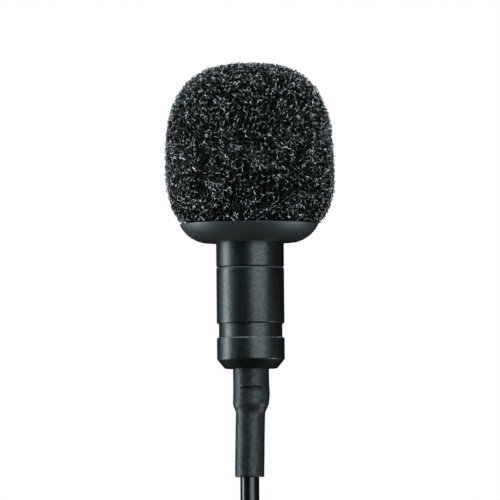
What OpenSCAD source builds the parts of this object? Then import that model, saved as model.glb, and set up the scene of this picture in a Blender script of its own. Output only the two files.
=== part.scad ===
// Lavalier microphone with a pull-off foam windscreen and a tied cable.
// Millimetres. The origin is the centre of the clip groove and +Z runs along
// the microphone's axis towards the windscreen, as it hangs from its clip.

/* [Body] */
// Outer radius of the metal body
body_r = 2.85; // [2.7:0.05:3.2]
// Radius of the groove that takes the clip
groove_r = 2.67; // [2.4:0.01:2.7]
// Width of the clip groove along the axis
groove_w = 1.15; // [1:0.05:1.6]
// Height of the barrel above the groove
barrel_h = 4.775; // [4:0.025:6]
// Height of the front cap above the barrel
cap_h = 8.85; // [8.6:0.05:9.5]
// Height of the straight rim of the rear cap
rear_rim_h = 1.825; // [1.2:0.025:2.2]
// Height of the chamfer below that rim
rear_chamfer_h = 0.8; // [0.5:0.05:1]
// Radius at the foot of that chamfer
rear_foot_r = 2.2; // [2:0.05:2.5]

/* [Windscreen] */
// Largest radius of the foam
foam_r = 7.1; // [6.5:0.1:8]
// Height of the foam's widest ring above the origin
foam_wide_z = 13.5; // [12.5:0.1:14.5]
// Height of the foam's crown above the origin
foam_top_z = 22.5; // [20:0.1:25]
// Height of the collar's flat underside above the origin
collar_z = 7.43; // [7:0.01:7.8]
// Height of the collar's rim above its underside
collar_h = 1.55; // [1.2:0.05:2]
// Gap all round between the collar's bore and the cap
collar_gap = 0.04; // [0.02:0.01:0.1]

/* [Cable] */
// Radius of the cable's jacket
cable_r = 0.8; // [0.7:0.05:0.9]
// Radius of the strain relief where it covers the ferrule
relief_top_r = 1.52; // [1.45:0.01:1.6]
// Radius of the strain relief where it covers the cable
relief_low_r = 1.22; // [1.1:0.01:1.3]
// Depth of the strain relief's step below the origin
relief_step_z = 6.2; // [5.8:0.1:7]
// Depth of the strain relief's cut end below the origin
relief_end_z = 12.3; // [11:0.1:14]

/* [Hank] */
// Number of turns that lie side by side in the hank
hank_columns = 5; // [5:1:5]
// Distance between neighbouring turns
hank_pitch = 1.64; // [1.6:0.01:1.7]
// Radius of the tightest fold
fold_r = 4.8; // [4.8:0.1:5.2]
// Length of the straight runs
hank_run = 24; // [24:1:26]
// Depth of the upper folds' centre below the origin
hank_z = 32; // [32:1:36]
// How far the tie draws each side in
hank_waist = 1.4; // [0.5:0.1:2]
// Width of the tie
tie_w = 8; // [6:0.5:9]
// Thickness of the tie
tie_t = 0.9; // [0.7:0.1:1]

/* [Plug] */
// Radius of the plug's contacts, a 3.5 mm jack
plug_r = 1.75; // [1.75]
// Length of the plug's contacts
plug_len = 14; // [14]
// Radius of the plug's housing
housing_r = 3; // [2.6:0.1:3]
// Length of the plug's housing
housing_len = 14; // [12:0.5:18]
// Length of the plug's boot
boot_len = 8; // [6:0.5:10]

/* [Hidden] */
$fn = 72;

// Body levels
barrel_z = groove_w / 2;
cap_z = barrel_z + barrel_h;
cap_top_z = cap_z + cap_h;
edge = 0.08;                    // small chamfer on turned edges
spigot_r = 2.54;                // barrel's spigot inside the front cap
cap_bore_r = 2.55;
cap_roof = 0.45;                // thickness of the cap's top
bore_r = 1.9;                   // clear bore through barrel and rear cap
rear_spigot_r = 2.3;
rear_spigot_z = 2.5;
rear_rim_z = -groove_w / 2;
rear_chamfer_z = rear_rim_z - rear_rim_h;
rear_foot_z = rear_chamfer_z - rear_chamfer_h;
flange_z = -2.2;                // seat of the ferrule's flange
flange_t = 0.6;

// Capsule levels, from the cap's roof down
mesh_t = 0.12;
cloth_t = 0.15;
boot_lip = 0.2;
boot_h = 3.58;
can_r = 2;
can_bore_r = 1.88;
can_h = 2.65;
can_wall = 0.12;
ring_t = 0.3;
film_t = 0.03;
spacer_t = 0.08;
plate_t = 0.3;
board_t = 0.3;
stack_r = 1.87;
mesh_z = cap_top_z - cap_roof - mesh_t;
cloth_z = mesh_z - cloth_t;
boot_z = cloth_z - boot_h;
can_z = cloth_z - boot_lip - can_h;
ring_z = can_z + can_h - can_wall - ring_t;
film_z = ring_z - film_t;
spacer_z = film_z - spacer_t;
plate_z = spacer_z - plate_t;
board_z = can_z + can_wall;
chip_z = board_z + board_t;
solder_h = 0.27;
wire_x = 0.36;
wire_r = 0.2;
o_ring_z = cap_z + 0.75;
o_ring_r = 0.2;

// Windscreen profile
collar_bore_r = body_r + collar_gap;
collar_arc_r = 2.75;            // the bowl's round side
collar_arc_x = 3.35;
rim_z = collar_z + collar_h;
socket_r = 3.5;                 // collar's tube inside the foam
socket_z = 11.6;
foam_gap = 0.1;                 // foam clear of the cap
foam_steps = 18;
crown_power = 2.8;
skirt_power = 2.6;
skirt_depth = 6.4;

// Cable, ferrule and braid
ferrule_r = 1;
ferrule_end_z = -5.9;
braid_r = 1.1;
braid_end_z = -5.8;
relief_taper = 0.76;
cable_sides = 8;
cable_route = [
    [0, 0, -2.9], [0, 0, -6], [0, 0, -9], [0, 0, -12.3], [0, 0, -14.5],
    [0, 0, -16.6], [0, -0.25, -18.1], [0, -1.05, -19.6], [0, -2.55, -20.85],
    [0, -4.05, -22.1], [0, -4.85, -23.6], [0, -5.1, -25.1],
    [-0.2, -5.1, -27], [-0.7, -5, -29.5], [-1.5, -4.8, -32],
    [-2.3, -4.45, -34.2], [-2.9, -4, -36]];
lead_route = [
    [8.08, 3.28, -30.2], [7.85, 3.45, -29.6], [7.3, 3.85, -28.7],
    [6.3, 4.65, -28.1], [4.85, 5.75, -27.9], [3.4, 6.85, -28.1],
    [2.35, 7.6, -28.9], [1.75, 8.05, -30.2], [1.6, 8.2, -31.6],
    [1.6, 8.2, -33]];

// Hank and tie
hank_r = fold_r + 2 * hank_pitch + cable_r;
hank_t = (hank_columns - 1) * hank_pitch + 2 * cable_r;
hank_mid_z = -hank_z - hank_run / 2;
waist_flat = tie_w / 2 + 0.4;
waist_x = hank_r - hank_waist;
tie_corner = 1;
tab_x = [-5, 7];                // overlapping end of the tie

// Plug, hanging behind the hank
plug_at = [1.6, 8.2];
boot_top_z = -33;
housing_z = boot_top_z - boot_len - housing_len;
plug_z = housing_z;             // contacts start below the housing
sleeve_len = 5.3;
band_len = 1.9;                 // each of the two ring contacts
gap_len = 0.6;                  // each insulator
tip_len = plug_len - sleeve_len - 2 * band_len - 3 * gap_len;
stem = 6;                       // how far the inner tubes reach up

// A turned piece: [radius, height] points around the axis
module turned(outline) {
    rotate_extrude()
        polygon(outline);
}

module ring_of(outer_r, inner_r, height) {
    difference() {
        cylinder(r = outer_r, h = height);
        translate([0, 0, -1])
            cylinder(r = inner_r, h = height + 2);
    }
}

module at_plug(z) {
    translate([plug_at.x, plug_at.y, z])
        children();
}

// Foam radius at a height: a full crown above, a tucked skirt below
function foam_at(z) =
    z > foam_wide_z
    ? foam_r * pow(1 - pow((z - foam_wide_z) / (foam_top_z - foam_wide_z), crown_power),
                   1 / crown_power)
    : foam_r * pow(1 - pow((foam_wide_z - z) / skirt_depth, skirt_power), 1 / skirt_power);

// Heights crowded towards the crown, where the foam turns over
function foam_heights() = [
    for (i = [0:foam_steps])
        rim_z + (foam_top_z - rim_z) * sin(90 * i / foam_steps)];

module foam_windscreen() {
    color("#1c1d1f")
        turned(concat(
            [[0, foam_top_z]],
            [[0, cap_top_z + foam_gap * 2], [body_r + foam_gap, cap_top_z + foam_gap * 2],
             [body_r + foam_gap, socket_z], [socket_r, socket_z], [socket_r, rim_z]],
            [for (z = foam_heights()) if (z < foam_top_z) [foam_at(z), z]]));
}

// Bowl-shaped collar that carries the foam and snaps over the cap
module windscreen_collar() {
    arc_z = collar_z - 0.07 + collar_arc_r;
    first = asin((arc_z - collar_z) / collar_arc_r);
    last = asin((arc_z - rim_z) / collar_arc_r);
    steps = 10;
    color("#2b2d2f")
        turned(concat(
            [[collar_bore_r, collar_z + edge], [collar_bore_r + edge, collar_z]],
            [for (i = [0:steps])
                let (a = first + (last - first) * i / steps)
                [collar_arc_x + collar_arc_r * cos(a), arc_z - collar_arc_r * sin(a)]],
            [[socket_r, rim_z], [socket_r, socket_z], [collar_bore_r, socket_z]]));
}

// Front cap: a thin cup with seven sound ports in its roof
module front_cap() {
    port_r = 0.42;
    port_ring_r = 1.45;
    roof_chamfer = 0.25;
    color("#232426")
        difference() {
            turned([
                [cap_bore_r, cap_z], [body_r - edge, cap_z], [body_r, cap_z + edge],
                [body_r, cap_top_z - roof_chamfer], [body_r - roof_chamfer, cap_top_z],
                [0, cap_top_z], [0, cap_top_z - cap_roof], [cap_bore_r, cap_top_z - cap_roof]]);
            translate([0, 0, cap_top_z - 1])
                cylinder(r = port_r, h = 2);
            for (i = [0:5])
                rotate([0, 0, 60 * i])
                    translate([port_ring_r, 0, cap_top_z - 1])
                        cylinder(r = port_r, h = 2);
        }
}

module cap_mesh() {
    color("silver")
        translate([0, 0, mesh_z])
            cylinder(r = spigot_r, h = mesh_t);
}

module acoustic_cloth() {
    color("dimgray")
        translate([0, 0, cloth_z])
            cylinder(r = spigot_r, h = cloth_t);
}

// Rubber boot that holds the capsule clear of the cap
module capsule_boot() {
    color("#333333")
        turned([
            [can_r, boot_z], [spigot_r, boot_z], [spigot_r, cloth_z],
            [1.5, cloth_z], [1.5, cloth_z - boot_lip], [can_r, cloth_z - boot_lip]]);
}

module capsule_can() {
    sound_hole_r = 0.25;
    lip_r = 1.6;
    color("silver")
        difference() {
            turned([
                [lip_r, can_z], [can_r, can_z], [can_r, can_z + can_h], [0, can_z + can_h],
                [0, can_z + can_h - can_wall], [can_bore_r, can_z + can_h - can_wall],
                [can_bore_r, can_z + can_wall], [lip_r, can_z + can_wall]]);
            for (i = [0:2])
                rotate([0, 0, 120 * i])
                    translate([0.8, 0, can_z + can_h - 1])
                        cylinder(r = sound_hole_r, h = 2);
        }
}

module diaphragm_ring() {
    color("goldenrod")
        translate([0, 0, ring_z])
            ring_of(stack_r, 1.5, ring_t);
}

module diaphragm() {
    color("lightsteelblue")
        translate([0, 0, film_z])
            cylinder(r = stack_r, h = film_t);
}

module diaphragm_spacer() {
    color("ivory")
        translate([0, 0, spacer_z])
            ring_of(stack_r, 1.5, spacer_t);
}

// Perforated electret backplate
module backplate() {
    color("gold")
        difference() {
            translate([0, 0, plate_z])
                cylinder(r = 1.6, h = plate_t);
            for (i = [0:5])
                rotate([0, 0, 60 * i + 30])
                    translate([0.9, 0, plate_z - 1])
                        cylinder(r = 0.12, h = 2);
        }
}

// Plastic cup that keeps the backplate off the can
module backplate_holder() {
    color("gainsboro")
        turned([
            [1.36, chip_z], [stack_r, chip_z], [stack_r, spacer_z],
            [1.61, spacer_z], [1.61, plate_z], [1.36, plate_z]]);
}

module contact_ring() {
    color("goldenrod")
        translate([0, 0, chip_z])
            ring_of(1.35, 1.16, plate_z - chip_z);
}

module jfet() {
    color("#202020")
        translate([-0.5, -0.35, chip_z])
            cube([1, 0.7, 0.38]);
}

module chip_capacitors() {
    color("tan")
        for (side = [-1, 1])
            translate([-0.3, side * 0.7 - 0.15, chip_z])
                cube([0.6, 0.3, 0.3]);
}

module capsule_board() {
    color("seagreen")
        translate([0, 0, board_z])
            cylinder(r = stack_r, h = board_t);
}

module solder_joints() {
    color("lightgray")
        for (side = [-1, 1])
            translate([side * wire_x, 0, board_z - solder_h])
                cylinder(r1 = wire_r + 0.02, r2 = 0.32, h = solder_h);
}

module signal_wires() {
    color("firebrick")
        for (side = [-1, 1])
            translate([side * wire_x, 0, cable_route[0].z])
                cylinder(r = wire_r, h = board_z - solder_h - cable_route[0].z);
}

module o_ring() {
    color("#151515")
        translate([0, 0, o_ring_z])
            rotate_extrude()
                translate([spigot_r - o_ring_r, 0])
                    circle(r = o_ring_r);
}

// Main barrel: a tube whose spigot enters the cap and presses on the boot
module barrel() {
    seat_r = spigot_r - 2 * o_ring_r;
    seat_low = o_ring_z - o_ring_r;
    seat_high = o_ring_z + o_ring_r;
    color("#232426")
        turned([
            [rear_spigot_r, barrel_z], [body_r - edge, barrel_z], [body_r, barrel_z + edge],
            [body_r, cap_z - edge], [body_r - edge, cap_z], [spigot_r, cap_z],
            [spigot_r, seat_low], [seat_r, seat_low], [seat_r, seat_high],
            [spigot_r, seat_high], [spigot_r, boot_z], [bore_r, boot_z],
            [bore_r, rear_spigot_z], [rear_spigot_r, rear_spigot_z]]);
}

// Rear cap: clip groove, rim and chamfered foot in one turned piece
module rear_cap() {
    color("#232426")
        turned([
            [relief_top_r, rear_foot_z], [rear_foot_r - edge, rear_foot_z],
            [rear_foot_r + edge / 2, rear_foot_z + edge], [body_r, rear_chamfer_z],
            [body_r, rear_rim_z - edge], [body_r - edge, rear_rim_z],
            [groove_r, rear_rim_z], [groove_r, barrel_z],
            [rear_spigot_r, barrel_z], [rear_spigot_r, rear_spigot_z],
            [bore_r, rear_spigot_z], [bore_r, flange_z], [relief_top_r, flange_z]]);
}

// Flanged crimp ferrule around the cable's end
module crimp_ferrule() {
    color("darkkhaki")
        turned([
            [cable_r, ferrule_end_z], [ferrule_r, ferrule_end_z], [ferrule_r, flange_z],
            [bore_r - 0.02, flange_z], [bore_r - 0.02, flange_z + flange_t],
            [cable_r, flange_z + flange_t]]);
}

// Cable shield folded back over the ferrule
module shield_braid() {
    color("peru")
        translate([0, 0, braid_end_z])
            ring_of(braid_r, ferrule_r, flange_z - braid_end_z);
}

// Heat-shrunk sleeve over braid, ferrule and cable
module strain_relief() {
    inner_step = -relief_step_z + 0.2;
    color("#1e1f20")
        turned([
            [braid_r, flange_z], [relief_top_r, flange_z], [relief_top_r, -relief_step_z],
            [relief_low_r, -relief_step_z - relief_taper], [relief_low_r, -relief_end_z],
            [cable_r, -relief_end_z], [cable_r, inner_step - relief_taper],
            [braid_r, inner_step]]);
}

function unit(v) = v / norm(v);

// Direction of a route at its i-th point
function heading(route, i) =
    unit(route[min(i + 1, len(route) - 1)] - route[max(i - 1, 0)]);

// Corners of one ring; across is a direction square to the route's own bend
function tube_ring(route, i, across) =
    let (t = heading(route, i), u = unit(cross(t, across)), v = cross(t, u))
    [for (k = [0:cable_sides - 1])
        let (a = 360 * k / cable_sides)
        route[i] + cable_r * (cos(a) * u + sin(a) * v)];

// Tube along a route: side walls, then the two flat ends
module tube(route, across) {
    rings = len(route);
    n = cable_sides;
    points = [for (i = [0:rings - 1]) each tube_ring(route, i, across)];
    walls = [for (i = [0:rings - 2], k = [0:n - 1])
        let (a = i * n + k, b = i * n + (k + 1) % n)
        each [[a, b, b + n], [a, b + n, a + n]]];
    first_end = [for (k = [n - 1:-1:0]) k];
    last_end = [for (k = [0:n - 1]) (rings - 1) * n + k];
    polyhedron(points, concat(walls, [first_end, last_end]));
}

module cable() {
    color("#151516")
        tube(cable_route, [1, 0, 0]);
}

module plug_lead() {
    color("#151516")
        tube(lead_route, [0.6, 0.8, 0]);
}

// How far the tie draws the hank in at a distance from its middle
function waist_at(d) =
    d < waist_flat ? hank_waist
    : d > hank_run / 2 ? 0
    : hank_waist * (1 + cos(180 * (d - waist_flat) / (hank_run / 2 - waist_flat))) / 2;

// One side of the hank's outline, from its top to its bottom
function hank_side(side) = concat(
    [for (a = [90:-9:0]) [side * hank_r * cos(a), hank_run / 2 + hank_r * sin(a)]],
    [for (i = [1:15])
        let (z = hank_run / 2 - i * hank_run / 16)
        [side * (hank_r - waist_at(abs(z))), z]],
    [for (a = [0:9:90]) [side * hank_r * cos(a), -hank_run / 2 - hank_r * sin(a)]]);

function backwards(list) = [for (i = [len(list) - 2:-1:1]) list[i]];

module cable_hank() {
    color("#151516")
        translate([0, hank_t / 2, hank_mid_z])
            rotate([90, 0, 0])
                linear_extrude(hank_t)
                    polygon(concat(hank_side(1), backwards(hank_side(-1))));
}

module rounded_block(half_x, half_y, corner) {
    square([2 * half_x, 2 * (half_y - corner)], center = true);
    square([2 * (half_x - corner), 2 * half_y], center = true);
    for (x = [-1, 1], y = [-1, 1])
        translate([x * (half_x - corner), y * (half_y - corner)])
            circle(r = corner);
}

// Hook-and-loop tie round the hank's waist, its end lapped over the front
module cable_tie() {
    color("#303234")
        translate([0, 0, hank_mid_z - tie_w / 2])
            linear_extrude(tie_w)
                difference() {
                    union() {
                        rounded_block(waist_x + tie_t, hank_t / 2 + tie_t, tie_corner);
                        translate([tab_x[0], -hank_t / 2 - 2 * tie_t])
                            square([tab_x[1] - tab_x[0], tie_t + 0.1]);
                    }
                    square([2 * waist_x, hank_t], center = true);
                }
}

module plug_boot() {
    color("#1e1f20")
        at_plug(boot_top_z - boot_len)
            turned([
                [cable_r, 0], [2.3, 0], [2.1, 1], [1.35, boot_len - 0.3],
                [1.15, boot_len], [cable_r, boot_len]]);
}

// Moulded housing, open through its middle for the contacts' stems
module plug_housing() {
    round_r = 0.6;
    color("#1e1f20")
        at_plug(housing_z)
            turned([
                [1.45, 0], [housing_r - round_r, 0], [housing_r, round_r],
                [housing_r, housing_len - 1.2], [2.3, housing_len],
                [cable_r, housing_len], [cable_r, stem + 1], [1.45, stem + 1]]);
}

module plug_sleeve() {
    color("gold")
        at_plug(plug_z - sleeve_len)
            turned([
                [1.3, 0], [plug_r, 0], [plug_r, sleeve_len], [1.44, sleeve_len],
                [1.44, sleeve_len + stem], [1.3, sleeve_len + stem]]);
}

// Ring contact with the thin tube that carries its signal up the plug
module band(outer_tube_r, inner_tube_r, tube_len) {
    turned([
        [inner_tube_r, 0], [plug_r, 0], [plug_r, band_len], [outer_tube_r, band_len],
        [outer_tube_r, tube_len], [inner_tube_r, tube_len]]);
}

module plug_back_ring() {
    color("gold")
        at_plug(plug_z - sleeve_len - gap_len - band_len)
            band(1.2, 1, band_len + gap_len + sleeve_len + stem);
}

module plug_front_ring() {
    color("gold")
        at_plug(plug_z - sleeve_len - 2 * gap_len - 2 * band_len)
            band(0.9, 0.7, 2 * band_len + 2 * gap_len + sleeve_len + stem);
}

// Pointed tip with its retaining groove and centre pin
module plug_tip() {
    pin_r = 0.6;
    color("gold")
        at_plug(plug_z - plug_len)
            turned([
                [0, 0], [0.45, 0], [0.7, 0.2], [1.62, 1.55], [1.62, 1.8],
                [1.2, 2.3], [1.35, tip_len], [pin_r, tip_len],
                [pin_r, plug_len + stem], [0, plug_len + stem]]);
}

// Black insulators between the contacts, each lining the tube behind it
module insulator(inner_r, liner_r, liner_len) {
    turned([
        [inner_r, 0], [plug_r, 0], [plug_r, gap_len], [liner_r, gap_len],
        [liner_r, liner_len], [inner_r, liner_len]]);
}

module plug_insulators() {
    back_z = plug_z - sleeve_len - gap_len;
    middle_z = back_z - band_len - gap_len;
    front_z = middle_z - band_len - gap_len;
    color("#101010") {
        at_plug(back_z)
            insulator(1.2, 1.3, plug_z + stem - back_z);
        at_plug(middle_z)
            insulator(0.9, 1, plug_z + stem - middle_z);
        at_plug(front_z)
            insulator(0.6, 0.7, plug_z + stem - front_z);
    }
}

foam_windscreen();
windscreen_collar();
front_cap();
cap_mesh();
acoustic_cloth();
capsule_boot();
capsule_can();
diaphragm_ring();
diaphragm();
diaphragm_spacer();
backplate();
backplate_holder();
contact_ring();
jfet();
chip_capacitors();
capsule_board();
solder_joints();
signal_wires();
o_ring();
barrel();
rear_cap();
crimp_ferrule();
shield_braid();
strain_relief();
cable();
cable_hank();
cable_tie();
plug_lead();
plug_boot();
plug_housing();
plug_sleeve();
plug_back_ring();
plug_front_ring();
plug_tip();
plug_insulators();
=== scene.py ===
import math

import bpy
import numpy as np
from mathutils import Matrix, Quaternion, Vector


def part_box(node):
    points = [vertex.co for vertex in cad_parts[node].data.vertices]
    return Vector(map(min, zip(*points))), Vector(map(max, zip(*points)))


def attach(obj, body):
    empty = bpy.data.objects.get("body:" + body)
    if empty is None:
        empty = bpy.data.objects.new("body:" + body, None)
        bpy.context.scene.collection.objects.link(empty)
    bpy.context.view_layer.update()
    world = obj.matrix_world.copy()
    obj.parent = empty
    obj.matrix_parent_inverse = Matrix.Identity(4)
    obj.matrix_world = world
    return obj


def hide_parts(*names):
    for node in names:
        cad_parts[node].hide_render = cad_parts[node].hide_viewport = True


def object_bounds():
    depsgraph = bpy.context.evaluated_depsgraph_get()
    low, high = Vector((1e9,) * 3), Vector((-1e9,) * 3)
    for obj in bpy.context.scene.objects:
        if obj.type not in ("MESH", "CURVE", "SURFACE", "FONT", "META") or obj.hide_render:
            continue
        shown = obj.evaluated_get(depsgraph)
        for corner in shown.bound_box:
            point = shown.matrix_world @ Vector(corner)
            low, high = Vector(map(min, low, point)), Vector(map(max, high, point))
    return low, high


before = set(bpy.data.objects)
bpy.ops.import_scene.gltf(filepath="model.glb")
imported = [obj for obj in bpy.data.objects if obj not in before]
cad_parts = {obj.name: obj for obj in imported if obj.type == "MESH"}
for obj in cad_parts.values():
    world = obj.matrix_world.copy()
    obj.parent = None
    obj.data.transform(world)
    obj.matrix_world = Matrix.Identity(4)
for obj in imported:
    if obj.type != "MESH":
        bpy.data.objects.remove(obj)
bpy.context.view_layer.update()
mm = 0.001
fullPhase = 6.28                # about one turn, for random phases


def putInScene(name, data):
    thing = bpy.data.objects.new(name, data)
    bpy.context.scene.collection.objects.link(thing)
    return thing


def addPiece(name, data, body, material):
    piece = putInScene(name, data)
    data.materials.append(material)
    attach(piece, body)
    return piece


def meshFrom(name, points, faces, smoothAngle=None):
    # points in millimetres, faces as lists of corners
    mesh = bpy.data.meshes.new(name)
    mesh.from_pydata((np.asarray(points, float) * mm).tolist(), [], faces)
    mesh.update()
    mesh.polygons.foreach_set("use_smooth", np.ones(len(mesh.polygons), bool))
    if smoothAngle is not None:
        mesh.set_sharp_from_angle(angle=math.radians(smoothAngle))
    return mesh


def softCorners(outline, radius, steps=4):
    # rounds each corner of a closed outline with a small arc, so that edges catch light
    nearlyStraight = math.radians(165)
    mostOfSide = 0.45           # share of a side that one arc may take
    pts = np.asarray(outline, float)
    soft, paintedEdgeHighlight = [], []
    count = len(pts)
    radii = np.broadcast_to(radius, (count,))
    for i in range(count):
        here = pts[i]
        back = pts[i - 1] - here
        ahead = pts[(i + 1) % count] - here
        lenBack, lenAhead = np.linalg.norm(back), np.linalg.norm(ahead)
        back, ahead = back / lenBack, ahead / lenAhead
        turn = math.acos(float(np.clip(back @ ahead, -1, 1)))
        onAxis = abs(here[0]) < 1e-6
        if onAxis or turn > nearlyStraight or radii[i] <= 0:
            soft.append(here)
            paintedEdgeHighlight.append(0.0)
            continue
        # only convex corners that face up get the painted edge highlight, a pale colour where
        # light from above would glint
        outer = back[0] * ahead[1] - back[1] * ahead[0] < 0 and back[1] + ahead[1] < 0
        reach = min(radii[i] / math.tan(turn / 2), mostOfSide * min(lenBack, lenAhead))
        bend = reach * math.tan(turn / 2)
        centre = here + (back + ahead) / np.linalg.norm(back + ahead) * bend / math.sin(turn / 2)
        first = here + back * reach - centre
        last = here + ahead * reach - centre
        for k in range(steps + 1):
            spoke = first * (1 - k / steps) + last * k / steps
            soft.append(centre + spoke / np.linalg.norm(spoke) * bend)
            paintedEdgeHighlight.append(math.sin(math.pi * k / steps) if outer else 0.0)
    return np.array(soft), np.array(paintedEdgeHighlight)


def lathe(outline, segments, centre=(0, 0)):
    # turns a closed outline of (radius, height) about a vertical axis; axis points become poles
    points, faces, rings = [], [], []
    for r, z in outline:
        if r < 1e-6:
            rings.append([len(points)] * segments)
            points.append((centre[0], centre[1], z))
        else:
            rings.append(list(range(len(points), len(points) + segments)))
            points += [(centre[0] + r * math.cos(2 * math.pi * k / segments),
                        centre[1] + r * math.sin(2 * math.pi * k / segments), z)
                       for k in range(segments)]
    for a, b in zip(rings, rings[1:] + rings[:1]):
        for k in range(segments):
            n = (k + 1) % segments
            corners = list(dict.fromkeys([a[k], a[n], b[n], b[k]]))
            if len(corners) > 2:
                faces.append(corners)
    return np.array(points), faces


def outward(outline, radii=0.0):
    # lathe() needs the outline to run so that its faces point out of the solid
    pts = np.asarray(outline, float)
    radii = np.broadcast_to(radii, (len(pts),))
    x, z = pts[:, 0], pts[:, 1]
    area = float(np.sum(x * np.roll(z, -1) - np.roll(x, -1) * z)) / 2
    return (pts, radii) if area > 0 else (pts[::-1], radii[::-1])


def turnedPiece(name, node, outline, look, edge, segments, centre=(0, 0),
                body="microphone"):
    # a lathe-turned piece in place of its node; its painted highlight mask is 1 on the middle of
    # its upper edges
    turned, radii = outward(outline, edge)
    soft, paintedEdgeHighlight = softCorners(turned, radii)
    points, faces = lathe(soft, segments, centre)
    mesh = meshFrom(name, points, faces, 50)
    perPoint = np.repeat(paintedEdgeHighlight, np.where(soft[:, 0] < 1e-6, 1, segments))
    mesh.attributes.new("paintedEdgeHighlight", "FLOAT", "POINT").data.foreach_set("value", perPoint)
    piece = addPiece(name, mesh, body, materials[look])
    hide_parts(node)
    return piece


def span(node):
    # a node's height range and its largest radius about its own middle, in millimetres
    low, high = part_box(node)
    return low.z / mm, high.z / mm, (high.x - low.x) / 2 / mm


def smoothStep(x):
    x = np.clip(x, 0, 1)
    return x * x * (3 - 2 * x)


def nodeGroup(name, inputs, outputs):
    # a shared effect whose sockets all carry plain numbers
    group = bpy.data.node_groups.new(name, "ShaderNodeTree")
    for label, default in inputs.items():
        socket = group.interface.new_socket(name=label, in_out="INPUT",
                                            socket_type="NodeSocketFloat")
        socket.default_value = default
    for label in outputs:
        group.interface.new_socket(name=label, in_out="OUTPUT", socket_type="NodeSocketFloat")
    return group, group.nodes.new("NodeGroupInput"), group.nodes.new("NodeGroupOutput")


def addNode(tree, kind, **settings):
    # a setting goes to the socket of that name, or else to the node's own property
    node = tree.nodes.new(kind)
    for key, value in settings.items():
        if key in node.inputs:
            node.inputs[key].default_value = value
        else:
            setattr(node, key, value)
    return node


def feed(tree, value, socket):
    # links another node's output, or sets a plain value
    if hasattr(value, "is_linked"):
        tree.links.new(value, socket)
    else:
        socket.default_value = value


def mathNode(tree, operation, first, second=None, clamp=False):
    node = addNode(tree, "ShaderNodeMath", operation=operation, use_clamp=clamp)
    feed(tree, first, node.inputs[0])
    if second is not None:
        feed(tree, second, node.inputs[1])
    return node.outputs[0]


def mapRange(tree, value, fromLow, fromHigh, toLow, toHigh):
    node = tree.nodes.new("ShaderNodeMapRange")
    for key, given in (("Value", value), ("From Min", fromLow), ("From Max", fromHigh),
                       ("To Min", toLow), ("To Max", toHigh)):
        feed(tree, given, node.inputs[key])
    return node.outputs["Result"]


def mixColour(tree, factor, first, second):
    # on a colour Mix node, socket 0 is the factor, and 6 and 7 are the colours
    node = addNode(tree, "ShaderNodeMix", data_type="RGBA")
    for socket, given in ((0, factor), (6, first), (7, second)):
        feed(tree, given, node.inputs[socket])
    return node.outputs[2]


def objectPlace(tree):
    return tree.nodes.new("ShaderNodeTexCoord").outputs["Object"]


def objectParts(tree):
    parts = tree.nodes.new("ShaderNodeSeparateXYZ")
    tree.links.new(objectPlace(tree), parts.inputs[0])
    return parts.outputs


def noiseOn(tree, vector, scale, detail, roughness):
    noise = addNode(tree, "ShaderNodeTexNoise", Detail=detail, Roughness=roughness)
    tree.links.new(vector, noise.inputs["Vector"])
    tree.links.new(scale, noise.inputs["Scale"])
    return noise.outputs["Fac"]


noiseBand = (0.3, 0.7)          # where most of a noise node's values fall


def makeGrainGroup():
    # fine speckle in object space: Height for a bump, Mask for colour and roughness
    group, inside, out = nodeGroup(
        "surfaceGrain", {"Size per metre": 9000.0, "Stretch": 1.0, "Contrast": 0.5},
        ("Height", "Mask"))
    scale = addNode(group, "ShaderNodeCombineXYZ", X=1.0, Y=1.0)
    group.links.new(inside.outputs["Stretch"], scale.inputs["Z"])
    stretched = addNode(group, "ShaderNodeVectorMath", operation="MULTIPLY")
    group.links.new(objectPlace(group), stretched.inputs[0])
    group.links.new(scale.outputs[0], stretched.inputs[1])
    noise = noiseOn(group, stretched.outputs[0], inside.outputs["Size per metre"], 3.0, 0.6)
    half = mathNode(group, "MULTIPLY", inside.outputs["Contrast"], 0.5)
    low = mathNode(group, "SUBTRACT", 0.5, half)
    high = mathNode(group, "ADD", 0.5, half)
    group.links.new(mapRange(group, noise, *noiseBand, low, high), out.inputs["Mask"])
    group.links.new(noise, out.inputs["Height"])
    return group


def makeBlotchGroup():
    # broad, soft unevenness, as handling and moulding leave it
    group, inside, out = nodeGroup(
        "softBlotches", {"Size per metre": 600.0, "Low": 0.0, "High": 1.0}, ("Mask",))
    noise = noiseOn(group, objectPlace(group), inside.outputs["Size per metre"], 4.0, 0.55)
    mask = mapRange(group, noise, *noiseBand, inside.outputs["Low"], inside.outputs["High"])
    group.links.new(mask, out.inputs["Mask"])
    return group


def makeTurningGroup():
    # faint rings left by a lathe tool, with random strength along the axis
    group, inside, out = nodeGroup("turningRings", {"Rings per metre": 12000.0}, ("Height",))
    level = group.nodes.new("ShaderNodeCombineXYZ")
    group.links.new(objectParts(group)["Z"], level.inputs["Z"])
    noise = noiseOn(group, level.outputs[0], inside.outputs["Rings per metre"], 2.0, 0.5)
    group.links.new(noise, out.inputs["Height"])
    return group


def makePaintedHighlightGroup():
    # painted highlight on upper edges: the mesh's own edge mask, broken up by speckle
    group, inside, out = nodeGroup(
        "paintedEdgeHighlightNodes", {"Amount": 1.0, "Size per metre": 2500.0}, ("Mask",))
    edge = addNode(group, "ShaderNodeAttribute", attribute_name="paintedEdgeHighlight")
    noise = noiseOn(group, objectPlace(group), inside.outputs["Size per metre"], 3.0, 0.6)
    broken = mapRange(group, noise, 0.35, 0.6, 0.25, 1.0)
    paintedHighlightMask = mathNode(group, "MULTIPLY", edge.outputs["Fac"], broken)
    group.links.new(mathNode(group, "MULTIPLY", paintedHighlightMask, inside.outputs["Amount"], clamp=True),
                    out.inputs["Mask"])
    return group


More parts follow.
